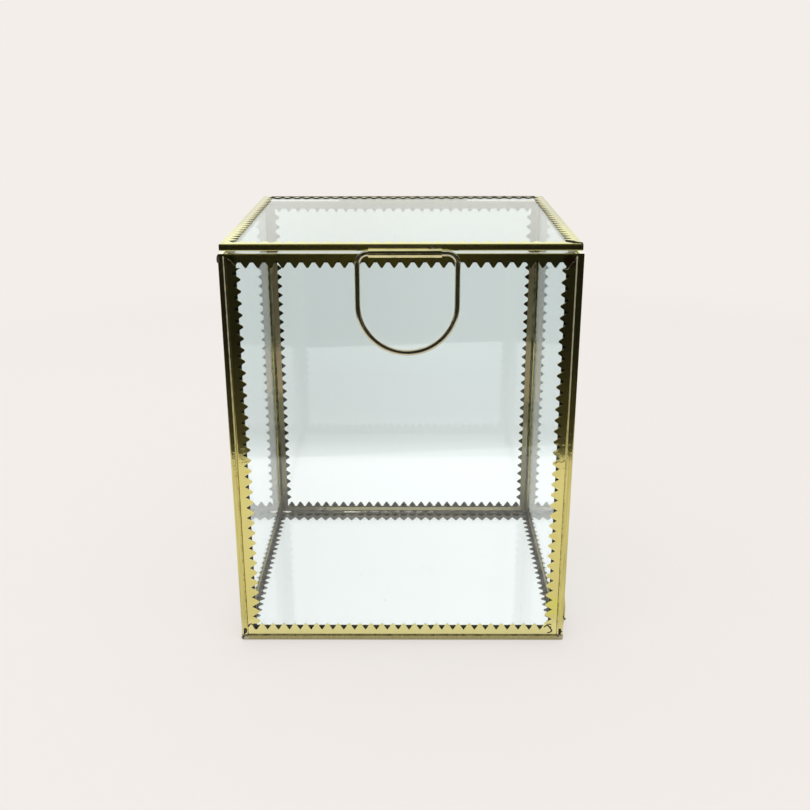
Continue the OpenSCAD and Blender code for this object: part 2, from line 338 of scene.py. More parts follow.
def sheet_faces_group():
    """Which face of a strip this is. Raw faces lie against the glass, between the two flanges
    of a pane. Inner faces are the lips that look into the closed box. Webs are the narrow faces
    beside the front and the back pane. Side foot is the lips at the foot of the side walls, Foot
    the lowest part of the box, Rim the top of the case, and Upper how far up the wall a place
    is."""
    tree, _ = open_group("faces of the sheet", {})
    _, at = object_point(tree)
    across, deep = (math_node(tree, "ABSOLUTE", at[i]) for i in (0, 1))
    up = at[2]
    normal = add_node(tree, "NewGeometry").outputs["True Normal"]
    facing = add_node(tree, "SeparateXYZ", {0: normal}).outputs
    gap = SHEET_T - HAIR

    def above(value, limit):
        return math_node(tree, "GREATER_THAN", value, limit)

    def below(value, limit):
        return math_node(tree, "LESS_THAN", value, limit)

    def between(value, low, high, axis):
        """1 where value lies from low to high and the face looks along the axis."""
        looks = above(math_node(tree, "ABSOLUTE", facing[axis]), FACING)
        return all_of(tree, above(value, low), below(value, high), looks)

    return close_group(tree, {
        "Raw": any_of(tree, between(across, INNER_X + gap, SIDE_X - gap, 0),
                      between(deep, INNER_Y + gap, BACK_Y - gap, 1),
                      between(up, gap, PANE_T - gap, 2),
                      between(up, LID_Z + gap, TOP_Z - gap, 2)),
        "Inner": all_of(tree, below(across, INNER_X + HAIR), below(deep, INNER_Y + HAIR),
                        above(up, PANE_T - HAIR), below(up, LID_Z + HAIR)),
        "Side foot": all_of(tree, between(across, INNER_X - SHEET_T - HAIR, INNER_X + HAIR, 0),
                            below(up, LIP_TOP + HAIR)),
        "Foot": smooth_step(tree, up, *FOOT_OF_WALL),
        "Rim": between(up, RIM_Z - HAIR, RIM_Z + HAIR, 2),
        "Web": smooth_step(tree, across, INNER_X - HAIR, INNER_X + HAIR),
        "Upper": smooth_step(tree, up, *UPPER_WALL),
    })


def tarnish_group():
    """Soft clouds where brass has dulled."""
    tree, given = open_group("tarnish", {"Share": 0.5})
    point, _ = object_point(tree)
    clouds = smooth_step(tree, noise(tree, point, CLOUDS_PER_METRE, 4.0, 0.6), *CLOUD_EDGE)
    return close_group(tree, {"Clouds": math_node(tree, "MULTIPLY", clouds, given["Share"])})


def stain_group():
    """Ragged round stain about a place given in metres."""
    tree, given = open_group("stain", {"X": 0.0, "Y": 0.0, "Z": 0.0, "Radius": 4 * MM})
    point, _ = object_point(tree)
    centre = add_node(tree, "CombineXYZ", {axis: given[axis] for axis in "XYZ"}).outputs[0]
    near = math_node(tree, "DIVIDE", distance(tree, point, centre), given["Radius"])
    rags = noise(tree, point, RAGS_PER_METRE, 3.0, 0.6)
    near = math_node(tree, "ADD", near, math_node(tree, "MULTIPLY", rags, RAG_DEPTH))
    return close_group(tree, {"Stain": smooth_step(tree, near, *STAIN_EDGE)})


def fine_marks_group():
    """Fine rubbing marks: noise drawn out along one axis, so that it makes short hairlines."""
    tree, given = open_group("rubbing marks", {"Along " + axis: 30.0 for axis in "XYZ"})
    point, _ = object_point(tree)
    stretch = {axis: given["Along " + axis] for axis in "XYZ"}
    stretch = add_node(tree, "CombineXYZ", stretch).outputs[0]
    scaled = add_node(tree, "VectorMath", {0: point, 1: stretch}, operation="MULTIPLY").outputs[0]
    return close_group(tree, {"Marks": noise(tree, scaled, 1.0, 4.0, 0.65)})


HAND_FOLDED = hand_folded_group()
SHEET_FACES = sheet_faces_group()
TARNISH = tarnish_group()
STAIN = stain_group()
RUBBING = fine_marks_group()

# ---- Colours of the finishes -------------------------------------------------------

WHITE = (1.0, 1.0, 1.0)
BRIGHT_BRASS = (0.76, 0.70, 0.265)
WARM_BRASS = (0.70, 0.61, 0.22)
FOOT_BRASS = (0.90, 0.85, 0.40)        # the lowest strips are paler
RIM_HIGHLIGHT = (0.97, 0.95, 0.80)         # and the top of the rim is pale by a painted highlight
WEB_SHADE = (0.96, 0.95, 0.92)         # the webs beside the flanges are darker by this painted shade
BASE_SHADE = (0.64, 0.62, 0.64)        # and those of the base by this
REAR_SHADE = (0.66, 0.60, 0.66)        # and the rear of the lid's strips by this, also a painted shade
LIP_BRASS = (0.27, 0.245, 0.15)
# lips high on the walls, darker by a painted shade
SHADED_UPPER_LIP = (0.24, 0.20, 0.11)
DARK_LIP = (0.09, 0.09, 0.083)
DULL_LIP = (0.17, 0.155, 0.105)
PALE_LIP_PATCH = (0.47, 0.42, 0.25)
# faces against the glass: raw sheet, near black by a painted shade between the flanges
RAW_SHEET_IN_SHADE = (0.035, 0.035, 0.032)
GLASS_TINT = (0.955, 0.975, 0.972)
STAINS = [                             # place, radius, colour
    ((-94.5 * MM, FRONT_Y, RIM_Z - 3 * MM), 3.0 * MM, (0.36, 0.36, 0.10)),
    ((93.5 * MM, FRONT_Y, RIM_Z - 4 * MM), 4.2 * MM, (0.42, 0.24, 0.11)),
    # a brighter, more golden patch low on the right upright
    ((91.5 * MM, FRONT_Y, 25 * MM), 8 * MM, (0.76, 0.73, 0.19)),
]
LIP_STAINS = [
    ((-95 * MM, INNER_Y, 122 * MM), 24 * MM, (0.54, 0.41, 0.23)),
    ((95 * MM, INNER_Y, 122 * MM), 28 * MM, (0.47, 0.37, 0.21)),
    ((-95 * MM, INNER_Y, 62 * MM), 15 * MM, DULL_LIP),
    ((95 * MM, INNER_Y, 66 * MM), 15 * MM, (0.40, 0.37, 0.25)),
    ((-75 * MM, INNER_Y, 5 * MM), 30 * MM, DULL_LIP),
    # three paler patches low on the lip at the foot of the back wall
    *(((x * MM, INNER_Y, 5 * MM), 38 * MM, PALE_LIP_PATCH) for x in (-30, 12, 50)),
]

# ---- Materials ---------------------------------------------------------------------

BURNT_PER_METRE = 330.0        # patches of burnt flux
BURNT_EDGE = (0.45, 0.62)      # the noise turns into patches between these values
DIMPLES_PER_METRE = 900.0
SMEARS_PER_METRE = 34.0
SMEAR_EDGE = (0.58, 0.8)
SMEAR_ROUGHNESS = 0.02
PANE_SHADE = 0.96              # share of a lamp's light that a pane passes, besides the tint
FOLD_WAVES = 60.0              # of a strip, to a metre
STREAK_EDGE = (0.38, 0.6)
STREAK_SHADE = 0.72            # the streaks along a web are darker by this
DULL_SHADE = 0.62              # and dull clouds on tube and wire by this
DULL_ROUGHNESS = 0.34          # of lips and raw faces
POLISH = (0.06, 0.05)          # roughness that rubbing marks add to polished sheet, and its own
MARKS_ROUGHEN = 0.16           # marks add this to the roughness of drawn brass
FLUX_ROUGHENS = 0.25           # and burnt flux adds this to that of solder
REAR_FADE = (FRONT_Y + 15 * MM, FRONT_Y + 105 * MM)
REAR_DRIFT = 90 * MM           # a full cloud would bring the fade forward by this


def new_material(name):
    """Empty material and its tree."""
    material = bpy.data.materials.new(name)
    material.use_nodes = True
    material.node_tree.nodes.clear()
    return material, material.node_tree


def use_group(tree, made, values=()):
    """Places a node group with its values. Returns its outputs."""
    return add_node(tree, "Group", values, node_tree=made).outputs


def rubbed(tree, along_x, along_y, along_z):
    """Rubbing marks, so many to a metre along each axis."""
    values = {"Along X": along_x, "Along Y": along_y, "Along Z": along_z}
    return use_group(tree, RUBBING, values)["Marks"]


def stained(tree, colour, stains):
    """The colour with a list of stains over it."""
    for place, radius, tone in stains:
        values = {**dict(zip("XYZ", place)), "Radius": radius}
        colour = blend_colour(tree, use_group(tree, STAIN, values)["Stain"], colour, tone)
    return colour


def metal_surface(tree, colour, roughness, height, proud, metallic=1.0):
    """Makes metal the surface of a material. A height of 1 stands proud by this distance."""
    given = {"Metallic": metallic, "Base Color": colour, "Roughness": roughness,
             "Normal": bumped(tree, height, proud)}
    metal = add_node(tree, "BsdfPrincipled", given)
    add_node(tree, "OutputMaterial", {"Surface": metal.outputs[0]})


def sheet_brass(name, lip=LIP_BRASS, shaded_upper_lip=SHADED_UPPER_LIP, web=WEB_SHADE, web_everywhere=0.0,
                rear=WHITE, stains=(), lip_stains=()):
    """Polished sheet folded by hand. Its outer faces are mirrors with long waves, its webs are
    streaked along the strip and darkened by a painted shade, and the top of its rim carries a
    painted highlight. Its lips inside the box are dulled by flux and darker up the walls by a
    painted shade, and its faces against the glass are raw and darkened by a painted shade.
    Towards the back it turns darker by the rear shade, a painted shade."""
    material, tree = new_material(name)
    _, at = object_point(tree)
    faces = use_group(tree, SHEET_FACES)
    clouds = use_group(tree, TARNISH, {"Share": 0.35})["Clouds"]
    folded = use_group(tree, HAND_FOLDED, {"Wave per metre": FOLD_WAVES})["Height"]
    colour = blend_colour(tree, clouds, BRIGHT_BRASS, WARM_BRASS)
    colour = blend_colour(tree, faces["Foot"], colour, FOOT_BRASS)
    # painted highlight on the top of the rim
    colour = blend_colour(tree, faces["Rim"], colour, RIM_HIGHLIGHT)
    colour = stained(tree, colour, stains)
    # streaks along the webs, and the webs' painted shade
    streak = smooth_step(tree, rubbed(tree, 1500.0, 1500.0, 22.0), *STREAK_EDGE)
    shade = blend_colour(tree, streak, tuple(STREAK_SHADE * c for c in web), web)
    on_web = any_of(tree, faces["Web"], web_everywhere)
    colour = multiply_colour(tree, colour, blend_colour(tree, on_web, WHITE, shade))
    # painted shade that grows towards the back
    clouded = math_node(tree, "MULTIPLY_ADD", clouds, REAR_DRIFT, at[1])
    backward = smooth_step(tree, clouded, *REAR_FADE)
    colour = multiply_colour(tree, colour, blend_colour(tree, backward, WHITE, rear))
    lips = stained(tree, blend_colour(tree, faces["Upper"], lip, shaded_upper_lip), lip_stains)
    lips = blend_colour(tree, faces["Side foot"], lips, DARK_LIP)
    colour = blend_colour(tree, faces["Inner"], colour, lips)
    # faces against the glass: raw, with painted shade
    colour = blend_colour(tree, faces["Raw"], colour, RAW_SHEET_IN_SHADE)
    polish = math_node(tree, "MULTIPLY_ADD", rubbed(tree, 900.0, 900.0, 900.0), *POLISH)
    dull = any_of(tree, faces["Inner"], faces["Raw"])
    rough = blend_value(tree, dull, polish, DULL_ROUGHNESS)
    metal_surface(tree, colour, rough, folded, 1 * MM)
    return material


def drawn_brass(name, tone, roughness, marks_per_metre):
    """Rolled tube or drawn wire: hairlines run along it, with dull clouds."""
    material, tree = new_material(name)
    clouds = use_group(tree, TARNISH, {"Share": 0.7})["Clouds"]
    marks = rubbed(tree, *marks_per_metre)
    colour = blend_colour(tree, clouds, tone, tuple(DULL_SHADE * c for c in tone))
    rough = math_node(tree, "MULTIPLY_ADD", marks, MARKS_ROUGHEN, roughness)
    metal_surface(tree, colour, rough, marks, 0.02 * MM)
    return material


def solder_metal(name, tone, flux, metallic=1.0, roughness=0.22, upper=None):
    """Solder melted on with an iron: grey and dimpled, with brown flux in patches. Up the walls
    it may take another tone, a painted highlight."""
    material, tree = new_material(name)
    point, _ = object_point(tree)
    burnt = smooth_step(tree, noise(tree, point, BURNT_PER_METRE, 3.0, 0.6), *BURNT_EDGE)
    dimples = noise(tree, point, DIMPLES_PER_METRE, 3.0, 0.55)
    colour = blend_colour(tree, burnt, tone, flux)
    if upper:
        colour = blend_colour(tree, use_group(tree, SHEET_FACES)["Upper"], colour, upper)
    rough = math_node(tree, "MULTIPLY_ADD", burnt, FLUX_ROUGHENS, roughness)
    metal_surface(tree, colour, rough, dimples, 0.25 * MM, metallic)
    return material


def clear_glass(name):
    """Picture glass with a faint cool tint and wiping smears. Lamps shine through it."""
    material, tree = new_material(name)
    point, _ = object_point(tree)
    smears = smooth_step(tree, noise(tree, point, SMEARS_PER_METRE, 5.0, 0.7), *SMEAR_EDGE)
    glass = add_node(tree, "BsdfPrincipled", {
        "Base Color": GLASS_TINT, "IOR": 1.5, "Transmission Weight": 1.0,
        "Roughness": math_node(tree, "MULTIPLY", smears, SMEAR_ROUGHNESS)})
    shine = tuple(c * PANE_SHADE for c in GLASS_TINT)
    through = add_node(tree, "BsdfTransparent", {"Color": shine})
    path = add_node(tree, "LightPath").outputs
    lamps = any_of(tree, path["Is Shadow Ray"], path["Is Diffuse Ray"])
    both = mix_shaders(tree, lamps, glass.outputs[0], through.outputs[0])
    add_node(tree, "OutputMaterial", {"Surface": both})
    return material


CASE_BRASS = sheet_brass("strip_brass", stains=STAINS, lip_stains=LIP_STAINS)
# all of the base's strips take the base's painted shade
BASE_BRASS = sheet_brass("base_strip_brass", lip=DARK_LIP, web=BASE_SHADE, web_everywhere=1.0)
LID_BRASS = sheet_brass("lid_strip_brass", web=WHITE, rear=REAR_SHADE)
TUBE_BRASS = drawn_brass("tube_brass", (0.80, 0.73, 0.40), 0.07, (60.0, 1800.0, 1800.0))
WIRE_BRASS = drawn_brass("wire_brass", (0.66, 0.62, 0.44), 0.08, (500.0, 1500.0, 250.0))
SOLDER = solder_metal("solder", (0.58, 0.55, 0.44), (0.20, 0.16, 0.09))
# near white and glossy: painted highlights at the foot of the walls
HIGHLIGHT_SOLDER = solder_metal("highlight_solder", (0.90, 0.88, 0.78), (0.80, 0.76, 0.62),
                             roughness=0.12)
SEAM_SOLDER = solder_metal("seam_solder", (0.15, 0.14, 0.085), (0.075, 0.07, 0.04),
                           roughness=0.34)
BROWN_SOLDER = solder_metal("brown_solder", (0.24, 0.21, 0.07), (0.11, 0.095, 0.035),
                            metallic=0.3, roughness=0.34)
FOOT_SOLDER = solder_metal("foot_solder", (0.12, 0.115, 0.095), (0.055, 0.05, 0.04),
                           roughness=0.34)
# up the walls its pale grey tone is a painted highlight along the joint
JOINT_SOLDER = solder_metal("joint_solder", (0.72, 0.63, 0.21), (0.50, 0.41, 0.12),
                            metallic=0.3, roughness=0.42, upper=(0.42, 0.40, 0.29))
BURNT_FLUX = solder_metal("burnt_flux", (0.055, 0.045, 0.03), (0.03, 0.025, 0.015),
                          metallic=0.0, roughness=0.5)
GLASS = clear_glass("clear_glass")


def material_of(name):
    """Finish of a CAD node, from its name."""
    if name.endswith("_glass"):
        return GLASS
    if name.endswith("_seams"):
        return SOLDER
    if name in ("handle_ring", "hinge_pin"):
        return WIRE_BRASS
    if name.startswith("base_"):
        return BASE_BRASS
    if name.startswith("lid_"):
        return LID_BRASS
    if name.endswith("_channel"):
        return CASE_BRASS
    return TUBE_BRASS


for name, node in nodes.items():
    node.data.materials.clear()
    node.data.materials.append(material_of(name))


def finish_piece(piece, material, body):
    """Gives a new piece its material and its body."""
    piece.data.materials.append(material)
    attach(piece, body)
    return piece


# ---- Solder on the case --------------------------------------------------------------

SEAM_LEG = 2 * MM
SEAM_GAP = 0.3 * MM             # between a seam up a corner and one along the foot
BEAD_SUNK = 0.12 * MM           # beads lie this deep in the grooves between two folds
GROOVE_Z = PANE_T - 0.3 * MM    # middle of the grooves between the base and the walls
GROOVE_END = 0.8 * MM           # their solder stops this far from the corners
SPECKS = 7
CORNERS = [(-1, -1), (1, -1), (1, 1), (-1, 1)]


def upright_seams():
    """A hand-run fillet in each upright corner inside the case."""
    runs = []
    for i, (sx, sy) in enumerate(CORNERS):
        start = (sx * INNER_X, sy * INNER_Y, FLOOR_OF_CASE)
        runs.append(fillet(start, UPWARD, (-sx, 0, 0), (0, -sy, 0), RIM_Z - FLOOR_OF_CASE,
                           SEAM_LEG, seed=10 + i))
    return skin("upright_solder", *runs)


def foot_seams():
    """A hand-run fillet along the foot of each wall inside the case."""
    runs = []
    end = SEAM_LEG + SEAM_GAP
    for i, s in enumerate((-1, 1)):
        runs.append(fillet((end - INNER_X, s * INNER_Y, FLOOR_OF_CASE), (1, 0, 0), (0, -s, 0),
                           UPWARD, 2 * (INNER_X - end), SEAM_LEG, seed=20 + i))
        runs.append(fillet((s * INNER_X, end - INNER_Y, FLOOR_OF_CASE), (0, 1, 0), (-s, 0, 0),
                           UPWARD, 2 * (INNER_Y - end), SEAM_LEG, seed=30 + i))
    return skin("foot_solder", *runs)


def joint_bead(side, outward, out_at_foot, out_at_head, seed):
    """Solder in the groove between a side's web and the flange beside it. It lies over the edge
    of the web by these lengths, in millimetres."""
    deep = outward[1] * (BACK_Y - BEAD_SUNK)
    foot = (side * (INNER_X + out_at_foot * MM), deep, PANE_T + 5 * MM)
    head = (side * (INNER_X + out_at_head * MM), deep, RIM_Z - 1.2 * MM)
    return bead([foot, head], radius=0.40 * MM, flat=0.7, normal=outward, seed=seed)


def front_joint_beads():
    """The two joints at the front."""
    return skin("joint_solder", joint_bead(-1, TO_FRONT, 0.5, 0.9, seed=40),
                joint_bead(1, TO_FRONT, 0.4, -0.1, seed=41))


def back_joint_beads():
    """The two joints at the back."""
    return skin("back_joint_solder", joint_bead(1, TO_BACK, 0.3, 0.3, seed=42),
                joint_bead(-1, TO_BACK, 0.3, 0.3, seed=43))


def foot_bead(start, end, radius, outward, seed):
    """Solder in the groove between one of the base's webs and the wall that stands on it."""
    sunk = Vector(outward) * -BEAD_SUNK
    points = [tuple(Vector((x, y, GROOVE_Z)) + sunk) for x, y in (start, end)]
    return bead(points, radius, flat=0.55, normal=outward, seed=seed)


def front_foot_bead():
    """The groove at the front, full and brown."""
    end = SIDE_X - GROOVE_END
    return skin("front_groove_solder",
                foot_bead((-end, FRONT_Y), (end, FRONT_Y), 0.75 * MM, TO_FRONT, seed=50))


def foot_beads():
    """The grooves at the back and the sides."""
    end_x, end_y = SIDE_X - GROOVE_END, BACK_Y - GROOVE_END
    radius = 0.6 * MM
    runs = [foot_bead((-end_x, BACK_Y), (end_x, BACK_Y), radius, TO_BACK, seed=51)]
    for i, s in enumerate((-1, 1)):
        side = s * SIDE_X
        runs.append(foot_bead((side, -end_y), (side, end_y), radius, (s, 0, 0), seed=54 + i))
    return skin("foot_groove_solder", *runs)


def front_bead(points, radius, flat, seed):
    """Bead along (x, z) points, in millimetres, on the outer face of the front pane."""
    return bead([(x * MM, FRONT_Y, z * MM) for x, z in points], radius, flat, TO_FRONT, seed)


def lap_outlines():
    """Burnt flux round the last teeth that lap over the uprights at the foot of the front."""
    left = [(-97.2, 9.5), (-96.6, 11.2), (-95.2, 11.9), (-94.1, 10.6), (-92.7, 8.0), (-91.3, 8.8)]
    right = [(89.4, 9.4), (90.4, 10.4), (91.4, 10.8), (92.4, 10.3), (93.3, 9.1), (94.2, 7.8),
             (94.6, 7.0), (94.1, 6.3), (93.0, 5.7), (91.5, 5.3)]
    return skin("lap_flux", front_bead(left, radius=0.44 * MM, flat=0.5, seed=60),
                front_bead(right, radius=0.38 * MM, flat=0.9, seed=61))


def top_lap_highlights():
    """Thin lines of solder where the flanges lap at the top corners of the front: painted
    highlights where the lapped edges catch the light.
    """
    left = [(-96.3, 246.0), (-94.4, 244.6), (-92.4, 242.2)]
    right = [(89.7, 240.0), (92.5, 239.6), (93.9, 241.6), (94.9, 243.4), (96.4, 244.3),
             (97.0, 247.0)]
    return skin("top_lap_highlight_lines", front_bead(left, radius=0.2 * MM, flat=0.7, seed=63),
                front_bead(right, radius=0.2 * MM, flat=0.7, seed=64))


def lapped_tooth():
    """The lower half of the right upright's last tooth, which lies on the glass under the
    flange of the bottom strip and shows in its last notch."""
    edge = INNER_X - VALLEY_W
    foot = PANE_T + TIP_W
    outline = [(edge - 4 * MM, foot), (edge + 0.3 * MM, foot),
               (edge + 0.3 * MM, foot - 3.6 * MM), (edge - 0.2 * MM, foot - 3.4 * MM)]
    return skin("lapped_tooth", plate(outline, FRONT_Y + 0.25 * MM, FRONT_Y + 0.45 * MM))


def foot_corner_drops():
    """Drops of solder over the feet of the uprights and the ends of the base's web, and one in
    each corner at the back."""
    edge = SIDE_X - 1.5 * MM
    face = FRONT_Y + 0.25 * MM
    back = BACK_Y - 0.4 * MM
    return skin("corner_solder",
                drop((-edge + 0.3 * MM, face, 2.0 * MM), mm(2.6, 0.6, 2.2), seed=70),
                drop((edge - 0.4 * MM, face, 2.4 * MM), mm(2.6, 0.5, 1.9), seed=73),
                drop((-edge, back, 5.2 * MM), mm(1.2, 0.7, 2.4), seed=74),
                drop((edge, back, 4.8 * MM), mm(1.2, 0.7, 2.2), seed=75))


def bulged_foot():
    """The foot of the right upright's web, pushed outward by the solder under it."""
    middle = (SIDE_X - 0.1 * MM, FRONT_Y + 4.2 * MM, 19 * MM)
    return skin("bulged_foot", drop(middle, mm(1.5, 4.6, 15), seed=71, rows=15, sides=20))


def highlight_drops():
    """Small pale drops of solder that are painted highlights: one at the left foot, and thin runs
    along the foot of the back wall."""
    foot = FLOOR_OF_CASE + 0.5 * MM
    wall = INNER_Y - 0.5 * MM
    left_foot = (-SIDE_X + 2.7 * MM, FRONT_Y + 0.1 * MM, 4.6 * MM)
    pieces = [drop(left_foot, mm(0.8, 0.4, 0.7), seed=76)]
    runs = [mm(-97.4, -89.5, 0.95), mm(-48, -34, 0.6), mm(-34, 26, 0.28)]
    for i, (start, end, radius) in enumerate(runs):
        path = [(start, wall, foot), (end, wall, foot)]
        pieces.append(bead(path, radius, flat=1.0, normal=TO_FRONT, seed=77 + i))
    return skin("highlight_solder", *pieces)


def lip_edge_dark_line():
    """Dark bead along the upper edge of the lip at the foot of the back wall."""
    edge = LIP_TOP - 0.3 * MM
    end = INNER_X - 7 * MM
    deep = INNER_Y - SHEET_T
    path = [(-end, deep, edge), (end, deep, edge)]
    return skin("lip_edge_dark_line",
                bead(path, radius=0.55 * MM, flat=0.6, normal=TO_FRONT, seed=88))


def flux_and_shade_drops():
    """Dark drops: burnt flux beside the corner drops, and painted shade in the slots at the left
    and the right foot.
    """
    left = -SIDE_X + 2.3 * MM
    face = FRONT_Y + 0.2 * MM
    return skin("corner_flux_and_shade",
                drop((left + 0.1 * MM, face, 6.9 * MM), mm(1.6, 0.5, 2.1), seed=80),
                # the next two drops are painted shade in the slots at the left and the right foot
                drop((left - 1.3 * MM, face - 0.3 * MM, 2.6 * MM), mm(0.9, 0.4, 0.7), seed=81),
                drop((SIDE_X - 1.6 * MM, face, 6.3 * MM), mm(1.5, 0.5, 1.5), seed=85),
                drop((SIDE_X + 1.0 * MM, face + 0.6 * MM, 15 * MM), mm(0.5, 0.5, 1.0), seed=86),
                drop((left + 5.9 * MM, face, 10.6 * MM), mm(1.2, 0.35, 0.7), seed=82),
                drop((SIDE_X - 0.4 * MM, face, 17.3 * MM), mm(0.35, 0.3, 0.6), seed=83),
                drop((-SIDE_X + 0.2 * MM, face, RIM_Z - 3 * MM), mm(1.2, 0.5, 2.6), seed=84))


def glass_specks():
    """A few specks of flux left on the base glass."""
    draw = np.random.default_rng(7)
    top = FLOOR_OF_CASE - SHEET_T
    specks = []
    for i in range(SPECKS):
        place = (draw.uniform(-30, 50) * MM, draw.uniform(-65, 0) * MM, top)
        size = draw.uniform(0.25, 0.5) * MM
        specks.append(drop(place, (size, size, 0.4 * size), seed=140 + i, rows=5, sides=7))
    return skin("glass_specks", *specks)


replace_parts(finish_piece(upright_seams(), SEAM_SOLDER, "case"), "upright_seams")
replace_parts(finish_piece(foot_seams(), FOOT_SOLDER, "case"), "base_seams")
finish_piece(front_joint_beads(), JOINT_SOLDER, "case")
finish_piece(back_joint_beads(), SEAM_SOLDER, "case")
finish_piece(front_foot_bead(), BROWN_SOLDER, "case")
finish_piece(foot_beads(), FOOT_SOLDER, "case")
finish_piece(lip_edge_dark_line(), BURNT_FLUX, "case")
finish_piece(top_lap_highlights(), SOLDER, "case")
finish_piece(highlight_drops(), HIGHLIGHT_SOLDER, "case")
finish_piece(glass_specks(), BURNT_FLUX, "case")
finish_piece(lap_outlines(), BURNT_FLUX, "case")
finish_piece(lapped_tooth(), CASE_BRASS, "case")
finish_piece(foot_corner_drops(), SOLDER, "case")
finish_piece(bulged_foot(), CASE_BRASS, "case")
finish_piece(flux_and_shade_drops(), BURNT_FLUX, "case")

# ---- Solder on the lid and the hinge ----------------------------------------------

LEAF_TOP = TOP_Z - 0.9 * MM        # upper edge of the leaf on the lid's web


def lid_solder():
    """Solder along the upper edge and both ends of the middle knuckle's leaf, and the lump that
    set on the right end of the handle tube."""
    low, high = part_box("hinge_middle_knuckle")
    foot = LID_Z + 0.6 * MM
    edge = [(low.x, BACK_Y, foot), (low.x, BACK_Y, LEAF_TOP), (high.x, BACK_Y, LEAF_TOP),
            (high.x, BACK_Y, foot)]
    runs = [bead(edge[i:i + 2], radius=0.34 * MM, flat=0.8, normal=TO_BACK, seed=95 + i)
            for i in range(3)]
    _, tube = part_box("handle_tube")
    lump = (tube.x - 4.6 * MM, FRONT_Y - 1.7 * MM, tube.z - 1.9 * MM)
    return skin("lid_solder", *runs, drop(lump, mm(2.8, 1.2, 0.9), seed=99))


def case_leaf_solder():
    """Solder under the leaves of the two outer knuckles."""
    runs = []
    for i, name in enumerate(("hinge_left_knuckle", "hinge_right_knuckle")):
        low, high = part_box(name)
        path = [(low.x, BACK_Y, low.z), (high.x, BACK_Y, low.z)]
        runs.append(bead(path, radius=0.5 * MM, flat=0.8, normal=TO_BACK, seed=110 + i))
    return skin("leaf_solder", *runs)


def lid_corner_solder():
    """Flat drops under the lid, where the mitred lips of its strips meet."""
    corner_x, corner_y = LID_X - 4.6 * MM, BACK_Y - 4.6 * MM
    under = LID_Z + 0.25 * MM
    drops = [drop((sx * corner_x, sy * corner_y, under), mm(1.6, 1.6, 0.45), seed=120 + i)
             for i, (sx, sy) in enumerate(CORNERS)]
    return skin("lid_corner_solder", *drops)


def lid_lap_flux():
    """Burnt flux on the laps of the lid's top: along the mitre at the front right, and along the
    back edge."""
    corner_x, corner_y = LID_X - 0.3 * MM, FRONT_Y + 0.3 * MM
    length = 8.5 * MM
    mitre = [(corner_x, corner_y, TOP_Z), (corner_x - length, corner_y + length, TOP_Z)]
    back = BACK_Y - 2.6 * MM      # clear of the case's leaves when the lid hangs open
    end = LID_X - 6 * MM
    rear = [(-end, back, TOP_Z), (end, back, TOP_Z)]
    return skin("lid_flux", bead(mitre, radius=0.5 * MM, flat=1.3, normal=UPWARD, seed=130),
                bead(rear, radius=0.25 * MM, flat=0.9, normal=UPWARD, seed=131))


finish_piece(lid_solder(), SOLDER, "lid")
finish_piece(case_leaf_solder(), SOLDER, "case")
finish_piece(lid_corner_solder(), SOLDER, "lid")
finish_piece(lid_lap_flux(), BURNT_FLUX, "lid")

# ---- Camera ------------------------------------------------------------------------

EYE = (5.06 * MM, FRONT_Y - 536.7 * MM, 360.3 * MM)
PITCH = 0.33296              # it looks down by this, in radians
YAW = -0.0055                # and a little to the left
ROLL = -0.00219
SENSOR = 36.0
FRAME_PX = 810               # side of the picture
FOCAL_PX = 984.2             # focal length on the same scale
CENTRE_ROW = 380             # row of the picture that the lens's axis meets


def add_camera():
    """Camera at the eye, turned by yaw, then pitched down, then rolled."""
    data = bpy.data.cameras.new("camera")
    data.sensor_width = SENSOR
    data.lens = SENSOR * FOCAL_PX / FRAME_PX
    data.shift_y = (CENTRE_ROW - FRAME_PX / 2) / FRAME_PX
    data.clip_start = 0.01
    camera = bpy.data.objects.new("camera", data)
    bpy.context.scene.collection.objects.link(camera)
    turn = Matrix.Rotation(-YAW, 4, "Z") @ Matrix.Rotation(math.pi / 2 - PITCH, 4, "X")
    camera.matrix_world = Matrix.Translation(EYE) @ turn @ Matrix.Rotation(ROLL, 4, "Z")
    bpy.context.scene.camera = camera


# ---- Studio ------------------------------------------------------------------------

FLOOR_HALF = 6.0
FLOOR_Z = -0.05 * MM
TABLE_FRONT = FRONT_Y - 294 * MM      # the pale table ends here, and the room beyond is dark
TABLE_SKEW = 0.1175                   # its front edge comes nearer towards the left
TABLE_BLUR = 4 * MM
TABLE_SIDE = 0.40                     # half of its width
ROOM_ASIDE = (0.55, 0.35)             # the dark room fades between these places at the sides
FADE_START, FADE_END = 0.45, 1.0      # the floor's light becomes the ground's between these
SHADE_LIFT = 0.6                      # the box's shade on the floor is softened by this
CARD_START = FRONT_Y - 289 * MM       # mirrors find the room a little nearer
CARD_REACH = 3.0
CARD_BACK = 0.8
CARD_Z = 0.4 * MM
CARD_FADE = 0.40                      # the room's edge is lighter over this width
GLOW = ((-0.03, -1.25, 0), 0.30, 0.05)    # faint glow in the room: place, outer, inner radius

PALE = (0.896, 0.855, 0.823)          # the plain ground, as a linear colour
WORLD_LIGHT = (0.80, 0.79, 0.775)     # what lights matt surfaces from all round
GLOW_COLOUR = (0.045, 0.041, 0.02)
EDGE_COLOUR = (0.055, 0.05, 0.036)    # the room is lighter close to the table
DARK_ROOM = (0.014, 0.0145, 0.0125)
CEILING = (0.86, 0.90, 0.82)
BACKDROP = (1.06, 1.10, 1.02)
LEFT_BACKDROP = (1.22, 1.27, 1.20)
LEFT_EDGE = (-0.05, -0.25)            # parts of a unit arrow between which these colours meet
CEILING_EDGE = (0.30, 0.55)
REAR_EDGE = (0.60, 0.86)
REAR_SHARE = 0.9


